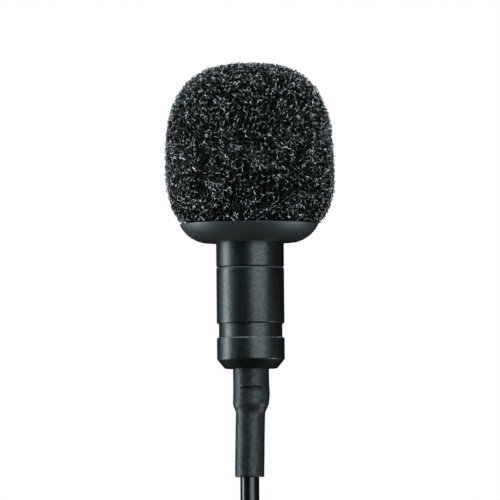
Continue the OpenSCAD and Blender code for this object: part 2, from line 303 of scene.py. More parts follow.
def makeWeaveGroup():
    # plain weave for a band standing round the z axis: one thread over, one under
    group, inside, out = nodeGroup("plainWeave", {"Threads per metre": 1800.0}, ("Height",))
    parts = objectParts(group)
    along = mathNode(group, "ADD", parts["X"], parts["Y"])
    waves = []
    for line in (along, parts["Z"]):
        turns = mathNode(group, "MULTIPLY", line, inside.outputs["Threads per metre"])
        waves.append(mathNode(group, "SINE", mathNode(group, "MULTIPLY", turns, math.pi)))
    crossing = mathNode(group, "MULTIPLY", waves[0], waves[1])
    lift = mathNode(group, "POWER", mathNode(group, "ABSOLUTE", crossing), 0.5)
    under = mapRange(group, crossing, -0.2, 0.2, 0.55, 1.0)
    group.links.new(mathNode(group, "MULTIPLY", lift, under), out.inputs["Height"])
    return group


paintedHighlightGroup = makePaintedHighlightGroup()
weaveGroup = makeWeaveGroup()
grainGroup = makeGrainGroup()
blotchGroup = makeBlotchGroup()
turningGroup = makeTurningGroup()


def useGroup(tree, group, **values):
    node = tree.nodes.new("ShaderNodeGroup")
    node.node_tree = group
    for key, value in values.items():
        node.inputs[key.replace("_", " ")].default_value = value
    return node


def newMaterial(name):
    material = bpy.data.materials.new(name)
    material.use_nodes = True
    return material, material.node_tree, material.node_tree.nodes["Principled BSDF"]


def finish(name, look):
    # one material from its settings: varied colour and roughness, grain, rings and weave
    material, tree, shader = newMaterial(name)
    for socket, key, usual in (("Metallic", "metallic", 0.0),
                               ("Specular IOR Level", "specular", 0.5),
                               ("Coat Roughness", "coatRoughness", 0.1),
                               ("Sheen Weight", "sheen", 0.0)):
        shader.inputs[socket].default_value = look.get(key, usual)
    share = look.get("grainShare", 0.5)
    grain = useGroup(tree, grainGroup, Size_per_metre=look["grainSize"],
                     Stretch=look.get("stretch", 1.0), Contrast=look.get("contrast", 0.8))
    blotch = useGroup(tree, blotchGroup, Size_per_metre=look.get("blotchSize", 500.0))
    shade = mathNode(tree, "ADD", mathNode(tree, "MULTIPLY", grain.outputs["Mask"], share),
                     mathNode(tree, "MULTIPLY", blotch.outputs["Mask"], 1 - share), clamp=True)
    if "threads" in look:
        weave = useGroup(tree, weaveGroup, Threads_per_metre=look["threads"])
        shade = mathNode(tree, "MULTIPLY", shade, mapRange(
            tree, weave.outputs["Height"], 0, 1, 0.1, 1.5), clamp=True)
    dark, light = look["colours"]
    colour = mixColour(tree, shade, (*dark, 1), (*light, 1))
    # painted highlight: the upper edges are painted pale, as light from above glinting on them
    if "paintedHighlightColour" in look:
        paintedHighlightMask = useGroup(tree, paintedHighlightGroup, Amount=look["paintedEdgeHighlight"])
        colour = mixColour(tree, paintedHighlightMask.outputs["Mask"], colour, (*look["paintedHighlightColour"], 1))
    tree.links.new(colour, shader.inputs["Base Color"])
    low, high = look["roughness"]
    tree.links.new(mapRange(tree, shade, 0, 1, low, high), shader.inputs["Roughness"])
    if "patchyCoat" in look:
        least, most = look["patchyCoat"]
        tree.links.new(mapRange(tree, grain.outputs["Mask"], 0.1, 0.9, least, most),
                       shader.inputs["Coat Weight"])
    height = grain.outputs["Height"]
    if "rings" in look:
        rings = useGroup(tree, turningGroup, Rings_per_metre=look["rings"])
        ringHeight = mathNode(tree, "MULTIPLY", rings.outputs["Height"],
                              look.get("ringShare", 1.0))
        height = mathNode(tree, "ADD", height, ringHeight)
    if "threads" in look:
        height = mathNode(tree, "ADD", mathNode(tree, "MULTIPLY", height, 0.4),
                          weave.outputs["Height"])
    bump = addNode(tree, "ShaderNodeBump", Strength=look.get("bump", 0.3),
                   Distance=look.get("bumpDepth", 0.01) * mm)
    tree.links.new(height, bump.inputs["Height"])
    tree.links.new(bump.outputs["Normal"], shader.inputs["Normal"])
    return material


looks = {
    # colours run from dark to light, sizes are per metre, and bumpDepth is in millimetres
    "body": {"colours": ((0.0018, 0.002, 0.0021), (0.005, 0.0056, 0.0058)),
             "roughness": (0.3, 0.44), "specular": 0.2, "patchyCoat": (0.12, 0.72),
             "coatRoughness": 0.36, "grainSize": 3600, "stretch": 1.5, "grainShare": 0.6,
             "bump": 0.6, "bumpDepth": 0.006, "rings": 9000, "ringShare": 0.6,
             # the pale edge colour and its amount below paint a highlight on the upper edges
             "blotchSize": 900, "paintedHighlightColour": (0.17, 0.187, 0.19), "paintedEdgeHighlight": 0.9},
    "collar": {"colours": ((0.009, 0.0105, 0.0105), (0.013, 0.015, 0.015)),
               "roughness": (0.46, 0.54), "grainSize": 9000, "bump": 0.2, "bumpDepth": 0.006,
               "specular": 0.7},
    "relief": {"colours": ((0.006, 0.007, 0.0072), (0.012, 0.0135, 0.014)),
               "roughness": (0.38, 0.5), "specular": 0.14, "patchyCoat": (0.0, 0.48),
               "coatRoughness": 0.42, "grainSize": 3600, "bump": 0.5, "bumpDepth": 0.01,
               "blotchSize": 900},
    "jacket": {"colours": ((0.001, 0.0011, 0.0012), (0.003, 0.0033, 0.0036)),
               "roughness": (0.2, 0.28), "specular": 0.42, "grainSize": 5000, "bump": 0.05,
               "bumpDepth": 0.01},
    "moulding": {"colours": ((0.008, 0.008, 0.009), (0.015, 0.015, 0.016)),
                 "roughness": (0.4, 0.55), "grainSize": 8000, "bump": 0.3, "bumpDepth": 0.02},
    "plating": {"colours": ((0.83, 0.62, 0.28), (0.95, 0.76, 0.4)), "metallic": 1.0,
                "roughness": (0.14, 0.26), "grainSize": 4000, "bump": 0.08,
                "bumpDepth": 0.005, "rings": 16000},
    "insulatorBlack": {"colours": ((0.006, 0.006, 0.006), (0.012, 0.012, 0.012)),
                       "roughness": (0.25, 0.35), "grainSize": 6000, "bump": 0.05},
    "strap": {"colours": ((0.006, 0.006, 0.007), (0.06, 0.06, 0.065)), "sheen": 0.3,
              "roughness": (0.7, 0.9), "grainSize": 5000, "bump": 1.0, "bumpDepth": 0.12,
              "grainShare": 0.6, "contrast": 1.0, "threads": 1700},
    # painted shade: the foam's core under the struts is painted near black, standing for the
    # shade deep in the foam
    "paintedShadeCore": {"colours": ((0.001, 0.001, 0.001), (0.003, 0.003, 0.003)), "specular": 0.02,
                 "roughness": (0.85, 0.95), "grainSize": 3000, "bump": 0.1},
    "steelMesh": {"colours": ((0.3, 0.3, 0.31), (0.62, 0.62, 0.63)), "metallic": 1.0,
                  "roughness": (0.3, 0.5), "grainSize": 9000, "bump": 0.6, "bumpDepth": 0.05},
    "cloth": {"colours": ((0.03, 0.03, 0.033), (0.08, 0.08, 0.085)), "sheen": 0.3,
              "roughness": (0.8, 0.95), "grainSize": 12000, "bump": 0.8, "bumpDepth": 0.04},
    "bootRubber": {"colours": ((0.015, 0.015, 0.015), (0.03, 0.03, 0.03)),
                   "roughness": (0.6, 0.75), "grainSize": 7000},
    "canMetal": {"colours": ((0.6, 0.6, 0.62), (0.82, 0.82, 0.84)), "metallic": 1.0,
                 "roughness": (0.28, 0.42), "grainSize": 5000, "bump": 0.1, "rings": 10000},
    "brass": {"colours": ((0.6, 0.42, 0.17), (0.8, 0.6, 0.3)), "metallic": 1.0,
              "roughness": (0.25, 0.4), "grainSize": 5000, "bump": 0.1, "rings": 12000},
    "film": {"colours": ((0.5, 0.52, 0.56), (0.7, 0.72, 0.75)), "metallic": 0.8,
             "roughness": (0.12, 0.2), "grainSize": 2000, "bump": 0.05},
    "plastic": {"colours": ((0.68, 0.67, 0.63), (0.82, 0.81, 0.78)),
                "roughness": (0.4, 0.5), "grainSize": 6000, "bump": 0.1},
    "chip": {"colours": ((0.012, 0.012, 0.013), (0.03, 0.03, 0.032)),
             "roughness": (0.5, 0.65), "grainSize": 15000, "bump": 0.3},
    "ceramic": {"colours": ((0.42, 0.3, 0.18), (0.6, 0.46, 0.3)),
                "roughness": (0.35, 0.5), "grainSize": 12000, "bump": 0.1},
    "board": {"colours": ((0.01, 0.1, 0.035), (0.03, 0.2, 0.07)),
              "roughness": (0.25, 0.4), "grainSize": 5000, "bump": 0.1},
    "solder": {"colours": ((0.6, 0.6, 0.6), (0.8, 0.8, 0.8)), "metallic": 1.0,
               "roughness": (0.2, 0.35), "grainSize": 6000, "bump": 0.2},
    "wire": {"colours": ((0.4, 0.02, 0.02), (0.55, 0.04, 0.03)),
             "roughness": (0.25, 0.35), "grainSize": 4000, "bump": 0.05},
    "braid": {"colours": ((0.5, 0.26, 0.14), (0.78, 0.48, 0.32)), "metallic": 1.0,
              "roughness": (0.25, 0.45), "grainSize": 10000, "stretch": 0.4, "bump": 0.9,
              "bumpDepth": 0.05},
}
materials = {name: finish(name, look) for name, look in looks.items()}
print("materials made:", len(materials))


cameraSettings = {
    "distance": 0.52,
    "elevation": -2.5,
    "roll": -0.5,
    "frameWidth": 0.04205,      # width of view at the microphone
    "aimHeight": 0.00679,
    "sensor": 36.0,
}


def makeCamera(s):
    data = bpy.data.cameras.new("camera")
    data.sensor_width = s["sensor"]
    data.lens = s["sensor"] * s["distance"] / s["frameWidth"]
    data.clip_start = 0.01
    camera = putInScene("camera", data)
    tilt = math.radians(s["elevation"])
    back = Vector((0, -math.cos(tilt), math.sin(tilt)))
    camera.location = Vector((0, 0, s["aimHeight"])) + back * s["distance"]
    aim = (-back).to_track_quat("-Z", "Y")
    camera.rotation_euler = (aim @ Quaternion((0, 0, 1), math.radians(s["roll"]))).to_euler()
    bpy.context.scene.camera = camera


makeCamera(cameraSettings)
print("camera set")


relief = {
    "inner": 0.83, "wide": 1.52, "narrow": 1.235, "step": -6.05, "taper": 0.95,
    "tuck": 0.05,               # how far the lower rim draws in on the cable
    "rows": 130, "sides": 168, "seed": 5, "waves": 14, "ripple": 0.02,
    "skinFrom": 1.0,            # radius beyond which a point is on the outside
    # the crimp's cut across the front, and the raised lip over it
    "slit": -4.75, "slitHalf": 0.075, "slitDepth": 0.24, "slitReach": 0.8, "slitTurn": 0.1,
    "slitFade": 0.22, "slitSag": 0.05, "slitZone": 0.35, "slitRows": 36,
    "lip": 0.025, "lipRise": 0.2, "lipWidth": 0.12,
    # the flattened patch under the cut, and the bulge beside it
    "patch": 0.03, "patchTurn": 0.25, "patchHalf": 0.65, "patchLow": -6.0, "patchGap": 0.1,
    "patchFade": (0.3, 0.2),
    "bulge": 0.045, "bulgeTurns": (-1.2, 0.9), "bulgeMiddle": -5.35, "bulgeSpread": 0.5,
    # height and sideways set of the sleeve and the cable it holds
    "lean": ((-20.5, 0), (-18, -0.07), (-16, -0.15), (-14, -0.19), (-11.7, -0.185),
             (-9.2, -0.135), (-7.1, -0.08), (-6.2, -0.035), (-5.2, 0)),
}


def leanAt(z):
    heights, sets = zip(*relief["lean"])
    return np.interp(z, heights, sets)


cord = {
    "radius": 0.8,
    "length": 1.17,
    "exit": (0, 0, -0.0123),
    "step": 0.45,
    "leadIn": [
        (0, 0, -2.9), (0, 0, -6), (0, 0, -9), (0, 0, -12.3), (0, 0, -14.5),
        (0, 0, -16.6), (0, -0.25, -18.1), (0, -1.05, -19.6), (0, -2.55, -20.85),
        (0, -4.05, -22.1), (0, -4.85, -23.6), (0, -5.1, -25.1),
        (-0.2, -5.1, -27), (-0.7, -5, -29.5), (-1.5, -4.8, -32),
        (-2.3, -4.45, -34.2)],
    "leadOut": [
        (8.08, 3.28, -30.2), (7.85, 3.45, -29.6), (7.3, 3.85, -28.7),
        (6.3, 4.65, -28.1), (4.85, 5.75, -27.9), (3.4, 6.85, -28.1),
        (2.35, 7.6, -28.9), (1.75, 8.05, -30.2), (1.6, 8.2, -31.6),
        (1.6, 8.2, -33), (1.6, 8.2, -36)],
}
hank = {
    "columns": 5,
    "layers": 3,
    "pitch": 1.64,
    "foldRadius": 4.8,
    "run": 24.0,
    "top": -32.0,               # centre of the upper folds
    "waist": 1.4,               # how far the tie draws the runs in
    "waistFlat": 4.4,           # half the height over which it does so fully
    "shift": (1.0, 9.0),        # stretch of a run, below its top, where a turn steps across
    "foldLift": (0.3, -0.15, 0.2, -0.25, 0.1),  # how far each column's folds stand proud
    "entryDrop": 1.5,           # from the end of the lead in to the first run
}


def curveThrough(points, step):
    # Catmull-Rom curve through the route's own points
    p = np.asarray(points, float)
    p = np.vstack([2 * p[0] - p[1], p, 2 * p[-1] - p[-2]])
    out = []
    for i in range(1, len(p) - 2):
        count = max(2, int(np.linalg.norm(p[i + 1] - p[i]) / step))
        for k in range(count):
            t = k / count
            out.append(0.5 * (2 * p[i] + (p[i + 1] - p[i - 1]) * t
                              + (2 * p[i - 1] - 5 * p[i] + 4 * p[i + 1] - p[i + 2]) * t * t
                              + (3 * p[i] - p[i - 1] - 3 * p[i + 1] + p[i + 2]) * t ** 3))
    out.append(p[-2])
    return np.array(out)


def waistAt(z):
    # how far the tie draws a run in, at a height
    middle = hank["top"] - hank["run"] / 2
    reach = hank["run"] / 2 - hank["waistFlat"]
    share = (np.abs(z - middle) - hank["waistFlat"]) / reach
    return hank["waist"] * (1 + np.cos(math.pi * np.clip(share, 0, 1))) / 2


def hankRun(side, fromTurn, toTurn, down, step, start=None):
    # one straight run; a turn is (layer, column), and it steps across in its upper part
    top = hank["top"] if start is None else start
    bottom = hank["top"] - hank["run"]
    z = np.linspace(top, bottom, int((top - bottom) / step))
    near, far = hank["shift"]
    share = smoothStep((hank["top"] - z - near) / (far - near))
    upper, lower = (fromTurn, toTurn) if down else (toTurn, fromTurn)
    turn = np.outer(1 - share, upper) + np.outer(share, lower)
    radius = hank["foldRadius"] + turn[:, 0] * hank["pitch"]
    x = side * (radius - waistAt(z))
    y = (turn[:, 1] - (hank["columns"] - 1) / 2) * hank["pitch"]
    points = np.stack([x, y, z], axis=1)
    return points if down else points[::-1]


def hankFold(atTop, turn, step):
    # half circle from one side to the other, over the top or under the bottom
    radius = hank["foldRadius"] + turn[0] * hank["pitch"]
    y = (turn[1] - (hank["columns"] - 1) / 2) * hank["pitch"]
    lift = hank["foldLift"][turn[1]]
    a = np.linspace(0, math.pi, int(math.pi * radius / step))[1:-1]
    stretch = radius + lift * np.sin(a) ** 2
    if atTop:
        return np.stack([radius * np.cos(a), np.full(len(a), y),
                         hank["top"] + stretch * np.sin(a)], axis=1)
    return np.stack([-radius * np.cos(a), np.full(len(a), y),
                     hank["top"] - hank["run"] - stretch * np.sin(a)], axis=1)


def windHank(step):
    # left runs go down and step one column across; layers change on right runs
    columns, parts = hank["columns"], []
    entry = cord["leadIn"][-1][2] - hank["entryDrop"]
    for layer in range(hank["layers"]):
        order = list(range(columns)) if layer % 2 == 0 else list(range(columns - 1, -1, -1))
        for i, column in enumerate(order):
            last = i == columns - 1 and layer < hank["layers"] - 1
            if i > 0:
                parts.append(hankFold(True, (layer, order[i - 1]), step))
                parts.append(hankRun(-1, (layer, order[i - 1]), (layer, column), True, step))
            elif layer > 0:
                continue        # the layer's first column was reached by the change of layer
            else:
                parts.append(hankRun(-1, (0, -1), (0, 0), True, step, entry))
            parts.append(hankFold(False, (layer, column), step))
            parts.append(hankRun(1, (layer, column), (layer + last, column), False, step))
    return np.vstack(parts)


def makeCord():
    leadIn = curveThrough(cord["leadIn"], cord["step"])
    leadOut = curveThrough(cord["leadOut"], cord["step"])
    leadIn[:, 0] += leanAt(leadIn[:, 2])
    rough = np.vstack([leadIn, windHank(cord["step"]), leadOut])
    data = bpy.data.curves.new("cableCord", "CURVE")
    data.dimensions = "3D"
    data.bevel_depth = cord["radius"] * mm
    data.bevel_resolution = 5
    data.use_fill_caps = True
    spline = data.splines.new("POLY")
    spline.points.add(len(rough) - 1)
    flat = np.hstack([rough * mm, np.ones((len(rough), 1))])
    spline.points.foreach_set("co", flat.ravel())
    spline.use_smooth = True
    piece = addPiece("cableCord", data, "microphone", materials["jacket"])
    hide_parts("cable", "cable_hank", "plug_lead")
    gaps = np.linalg.norm(np.diff(rough, axis=0), axis=1)
    print("cord length, mm:", round(float(gaps.sum()), 1), "points:", len(rough),
          "longest step:", round(float(gaps.max()), 2))
    return piece


cableCord = makeCord()


foam = {
    "cell": 0.42,               # size of one pore cell
    "depth": 0.3,               # how deep the open struts go
    "ragged": (-0.12, 0.05),    # least depth of a joint, drawn for each; below 0 stands proud
    "spare": 8,                 # grid steps beyond the foam
    "margin": 0.6,              # shell kept on both sides until the net is warped
    "strut": 0.036,
    "strutSpread": (0.75, 1.3),
    "strayTilt": 0.25,
    "jitter": 0.05,
    "warps": ((0.1, 1.3), (0.2, 3.1)),  # amount and wavelength
    "waves": 6,                 # in each warp
    "waveSpread": (0.7, 1.4),
    "wide": 13.5,               # height of the widest ring
    "crownPower": 2.8,
    "skirtPower": 2.6,
    "skirtDepth": 6.4,
    "sway": ((11, 0.1), (12.5, 0.07), (14, 0.03), (16, 0)),  # height and sideways set
    "seed": 11,
    "coreRows": 40,
    "coreSides": 120,
    "capGap": 0.2,              # room over the cap
    "capHole": 2.95,
    "tubeTop": 11.6,            # top of the hole for the collar's tube
    "tubeHole": 3.5,
    # painted light and shade: the dark colour is painted shade deep in the pores, with its
    # falloff by depth; the light colour is painted glints on the glossy joints
    "colours": ((0.0006, 0.0007, 0.0007), (0.78, 0.8, 0.79)),
    "paintedShadeFalloff": 2.6,
    "glossAndPaintedGlintTones": (0.03, 1.0),       # a dull joint and a glossy one
    "glossShare": 0.35,
    "glossSpread": (0.5, 1.0),
    "roughness": (0.24, 0.42),
    "specular": 0.15,
    "coatIor": 2.9,
    "coatRoughness": 0.18,
}


def foamMaterial():
    # painted light and shade: struts are painted pale near the open surface and on glossy joints,
    # as painted glints, and painted dark in the depth of the pores, as painted shade
    material, tree, shader = newMaterial("foamStruts")
    shader.inputs["Specular IOR Level"].default_value = foam["specular"]
    shader.inputs["Coat IOR"].default_value = foam["coatIor"]
    shader.inputs["Coat Roughness"].default_value = foam["coatRoughness"]
    shade = addNode(tree, "ShaderNodeAttribute", attribute_name="shade")
    grain = useGroup(tree, grainGroup, Size_per_metre=2500.0, Contrast=1.0)
    blotch = useGroup(tree, blotchGroup, Size_per_metre=260.0, Low=0.75, High=1.2)
    level = mathNode(tree, "MULTIPLY", shade.outputs["Fac"], blotch.outputs["Mask"])
    speck = mapRange(tree, grain.outputs["Mask"], 0, 1, 0.6, 1.3)
    level = mathNode(tree, "MULTIPLY", level, speck, clamp=True)
    tree.links.new(level, shader.inputs["Coat Weight"])
    # painted shade and painted glints go into the base colour through the same level
    dark, light = foam["colours"]
    tree.links.new(mixColour(tree, level, (*dark, 1), (*light, 1)), shader.inputs["Base Color"])
    low, high = foam["roughness"]
    tree.links.new(mapRange(tree, grain.outputs["Mask"], 0, 1, low, high),
                   shader.inputs["Roughness"])
    return material


def foamField(p):
    # depth below the foam's outer surface, from its superellipse
    _, high, radius = span("foam_windscreen")
    heights, sets = zip(*foam["sway"])
    r = np.hypot(p[:, 0] - np.interp(p[:, 2], heights, sets), p[:, 1]) + 1e-9
    dz = p[:, 2] - foam["wide"]
    up = dz > 0
    tall = np.where(up, high - foam["wide"], foam["skirtDepth"])
    power = np.where(up, foam["crownPower"], foam["skirtPower"])
    a, b = r / radius, np.abs(dz) / tall
    value = a ** power + b ** power - 1
    slope = np.hypot(power * a ** (power - 1) / radius, power * b ** (power - 1) / tall)
    return -value / np.maximum(slope, 1e-3)


def warp(p, rng):
    # slow waves in random directions, so that no row of cells stays straight
    out = p.copy()
    for amount, wavelength in foam["warps"]:
        for _ in range(foam["waves"]):
            push = rng.normal(size=3)
            push *= amount / np.linalg.norm(push)
            wave = rng.normal(size=3)
            wave *= (2 * math.pi / wavelength / np.linalg.norm(wave)
                     * rng.uniform(*foam["waveSpread"]))
            out += np.sin(p @ wave + rng.uniform(0, fullPhase))[:, None] * push / 2
    return out


def nextJoints(g):
    # the four joints beside one, which has one odd place and two even ones that differ by 2
    odd = next(k for k in range(3) if g[k] % 2)
    for other in range(3):
        if other == odd:
            continue
        for sign in (-1, 1):
            step = list(g)
            step[other] += sign
            step[odd] += 1 if (g[odd] + 1) % 4 == g[other] % 4 else -1
            yield tuple(step)


def kelvinNet(rng):
    # joints and struts of a foam of equal cells, then warped and cut to the shell
    low, high, radius = span("foam_windscreen")
    unit, spare = foam["cell"] / 4, foam["spare"]
    half = int(radius / unit) + spare
    tall = int((high - low) / unit) + spare
    axes = [np.arange(-half, half + 1), np.arange(-half, half + 1), np.arange(-spare, tall)]
    grid = np.stack(np.meshgrid(*axes, indexing="ij"), axis=-1).reshape(-1, 3)
    mod = grid % 4
    keep = ((mod % 2 == 1).sum(1) == 1) & ((mod == 0).sum(1) == 1) & ((mod == 2).sum(1) == 1)
    grid = grid[keep]
    place = grid * unit + np.array([0, 0, low])
    depth = foamField(place)
    near = (depth > -foam["margin"]) & (depth < foam["depth"] + foam["margin"])
    grid, place = grid[near], place[near]
    place = warp(place, rng) + rng.normal(size=place.shape) * foam["jitter"]
    depth = foamField(place)
    inside = depth > rng.uniform(*foam["ragged"], size=len(depth))
    inside &= (depth < foam["depth"]) & (place[:, 2] > low)
    index = {tuple(g): i for i, g in enumerate(grid.tolist())}
    struts = []
    for i in np.flatnonzero(inside).tolist():
        for beside in nextJoints(grid[i].tolist()):
            j = index.get(beside)
            if j is not None and j > i and inside[j]:
                struts.append((i, j))
    return place, depth, np.array(struts)


def strutDirections(place, struts, rng):
    # up to four neighbours of each joint, and four unit directions
    count = len(place)
    ends = np.vstack([struts, struts[:, ::-1]])
    ends = ends[np.argsort(ends[:, 0], kind="stable")]
    start = np.searchsorted(ends[:, 0], np.arange(count))
    rank = np.arange(len(ends)) - start[ends[:, 0]]
    ok = rank < 4
    neighbours = -np.ones((count, 4), int)
    neighbours[ends[ok, 0], rank[ok]] = ends[ok, 1]
    has = neighbours >= 0
    toward = np.zeros((count, 4, 3))
    toward[has] = (place[neighbours] - place[:, None])[has]
    length = np.linalg.norm(toward, axis=2, keepdims=True)
    toward = np.where(length > 0, toward / np.maximum(length, 1e-9), 0)
    # a joint with fewer than four struts gets its missing directions opposite the others
    for k in range(4):
        lack = ~has[:, k]
        tilt = rng.normal(size=(int(lack.sum()), 3)) * foam["strayTilt"]
        fill = -toward[lack].sum(1) + tilt
        toward[lack, k] = fill / np.linalg.norm(fill, axis=1, keepdims=True)
    return neighbours, toward


def facing(ring, points, axis):
    # a joint's three corners, in the order that turns one way about the strut
    a, b, c = points[ring]
    return ring[::-1] if np.dot(np.cross(b - a, c - a), axis) < 0 else ring


def strutFaces(place, points, struts, neighbours):
    slotOf = {(a, b): k for a, row in enumerate(neighbours.tolist())
              for k, b in enumerate(row) if b >= 0}
    faces = []
    for a, b in struts.tolist():
        ka, kb = slotOf.get((a, b)), slotOf.get((b, a))
        if ka is None or kb is None:
            continue
        axis = place[b] - place[a]
        ringA = facing([4 * a + k for k in range(4) if k != ka], points, axis)
        ringB = facing([4 * b + k for k in range(4) if k != kb], points, axis)
        pa, pb = points[ringA] - place[a], points[ringB] - place[b]
        # the pairing of corners that twists the strut least
        turn = max(range(3), key=lambda s: sum(float(pa[i] @ pb[(i + s) % 3])
                                               for i in range(3)))
        for i in range(3):
            n = (i + 1) % 3
            faces.append((ringA[i], ringA[n], ringB[(n + turn) % 3], ringB[(i + turn) % 3]))
    return faces


def strutMesh(rng):
    # each joint is a small tetrahedron, and each strut joins one face of two of them
    place, depth, struts = kelvinNet(rng)
    used = np.unique(struts)
    place, depth = place[used], depth[used]
    struts = np.searchsorted(used, struts)
    count = len(used)
    neighbours, toward = strutDirections(place, struts, rng)
    size = foam["strut"] * rng.uniform(*foam["strutSpread"], size=(count, 1, 1))
    corners = place[:, None] - toward * size         # corner k stands opposite strut k
    points = corners.reshape(-1, 3)
    faces = strutFaces(place, points, struts, neighbours)
    glossy = rng.uniform(size=count) < foam["glossShare"]
    dull, gloss = foam["glossAndPaintedGlintTones"]
    glossAndPaintedGlint = np.where(glossy, gloss * rng.uniform(*foam["glossSpread"], count), dull)
    # painted shade: struts are painted darker the deeper they lie in the pores
    paintedPoreShade = (1 - np.clip(depth / foam["depth"], 0, 1)) ** foam["paintedShadeFalloff"]
    return points, faces, np.repeat(paintedPoreShade * glossAndPaintedGlint, 4)


def foamCore():
    # closed dark body under the struts, round the collar's tube and the cap
    low, high, radius = span("foam_windscreen")
    rise = np.sin(np.linspace(0, math.pi / 2, foam["coreRows"]))
    heights = low + (high - foam["depth"] - low) * rise
    r = np.linspace(radius, 0.01, 400)
    profile = []
    for z in heights[:-1]:
        d = foamField(np.stack([r, r * 0, r * 0 + z], axis=1))
        profile.append((r[np.argmax(d > foam["depth"])], z))
    profile.append((0, heights[-1]))
    capTop = span("front_cap")[1] + foam["capGap"]
    inner = [(0, capTop), (foam["capHole"], capTop), (foam["capHole"], foam["tubeTop"]),
             (foam["tubeHole"], foam["tubeTop"]), (foam["tubeHole"], low)]
    return lathe(outward(profile + inner)[0], foam["coreSides"])


def makeFoam():
    rng = np.random.default_rng(foam["seed"])
    points, faces, shade = strutMesh(rng)
    corePoints, coreFaces = foamCore()
    shift = len(points)
    allPoints = np.vstack([points, corePoints])
    allFaces = faces + [[i + shift for i in f] for f in coreFaces]
    mesh = meshFrom("foamWindscreen", allPoints, allFaces)
    shade = np.append(shade, np.zeros(len(corePoints)))
    mesh.attributes.new("shade", "FLOAT", "POINT").data.foreach_set("value", shade)
    inCore = np.arange(len(allFaces)) >= len(faces)
    mesh.polygons.foreach_set("material_index", inCore.astype(int))
    piece = addPiece("foamWindscreen", mesh, "windscreen", foamMaterial())
    # the core gets the painted shade: a near-black, barely reflecting material
    mesh.materials.append(materials["paintedShadeCore"])
    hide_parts("foam_windscreen")
    print("foam struts:", len(faces) // 3, "faces:", len(allFaces))


makeFoam()


collar = {
    "arcRadius": 2.75, "arcCentre": 3.35, "steps": 24, "bore": 2.89, "tube": 3.5,
    "edge": 0.06,
    "dip": 0.07,                # of the arc's lowest point below the flat underside
    "offset": -0.06,            # the outside stands a little off centre on the cap
    "offsetReach": 0.6,
}


def makeCollar():
    low, high, _ = span("windscreen_collar")
    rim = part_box("foam_windscreen")[0].z / mm
    arcRadius = collar["arcRadius"]
    arcZ = low - collar["dip"] + arcRadius
    bowl = []
    for a in np.linspace(math.asin((arcZ - low) / arcRadius), math.asin((arcZ - rim) / arcRadius),
                         collar["steps"] + 1):
        bowl.append((collar["arcCentre"] + arcRadius * math.cos(a),
                     arcZ - arcRadius * math.sin(a)))
    outline = [(collar["bore"], low)] + bowl + [
        (collar["tube"], rim), (collar["tube"], high), (collar["bore"], high)]
    piece = turnedPiece("collarBowl", "windscreen_collar", outline, "collar",
                        edge=collar["edge"], segments=192, body="windscreen")
    points = np.empty(len(piece.data.vertices) * 3)
    piece.data.vertices.foreach_get("co", points)
    points = points.reshape(-1, 3)
    fromBore = np.hypot(points[:, 0], points[:, 1]) / mm - collar["bore"]
    points[:, 0] += smoothStep(fromBore / collar["offsetReach"]) * collar["offset"] * mm
    piece.data.vertices.foreach_set("co", points.ravel())


makeCollar()
print("collar made")

body = {
    "edge": 0.07, "lowerEdge": 0.14, "rimEdge": 0.2, "footEdge": 0.28, "seatEdge": 0.098,
    "jointGap": 0.03, "bore": 1.9, "grooveRadius": 2.67, "foot": 2.2, "chamfer": 0.8,
    "frontSpigot": 2.54, "rearSpigot": 2.3, "spigotTop": 2.5,
    "cableHole": 1.52, "cableSeat": -2.2,
}


def makeBody():
    edge, bore, rearSpigot = body["edge"], body["bore"], body["rearSpigot"]
    seat = span("front_cap")[0] - body["jointGap"]
    low, high, barrelRadius = span("barrel")
    tube = [(rearSpigot, low), (barrelRadius, low), (barrelRadius, seat),
            (body["frontSpigot"], seat), (body["frontSpigot"], high), (bore, high),
            (bore, body["spigotTop"]), (rearSpigot, body["spigotTop"])]
    turnedPiece("barrelTube", "barrel", tube, "body", segments=192,
                edge=[0, body["lowerEdge"], body["seatEdge"], 0, edge, edge, 0, 0])
    rearLow, rearHigh, rearRadius = span("rear_cap")
    rim = -low                  # the groove is centred on the frame's origin
    rear = [(body["cableHole"], rearLow), (body["foot"], rearLow),
            (rearRadius, rearLow + body["chamfer"]), (rearRadius, rim),
            (body["grooveRadius"], rim), (body["grooveRadius"], low), (rearSpigot, low),
            (rearSpigot, rearHigh), (bore, rearHigh), (bore, body["cableSeat"]),
            (body["cableHole"], body["cableSeat"])]
    turnedPiece("rearCap", "rear_cap", rear, "body", segments=192,
                edge=[0, body["footEdge"], body["rimEdge"], body["seatEdge"]] + [0] * 7)


makeBody()
print("body made")


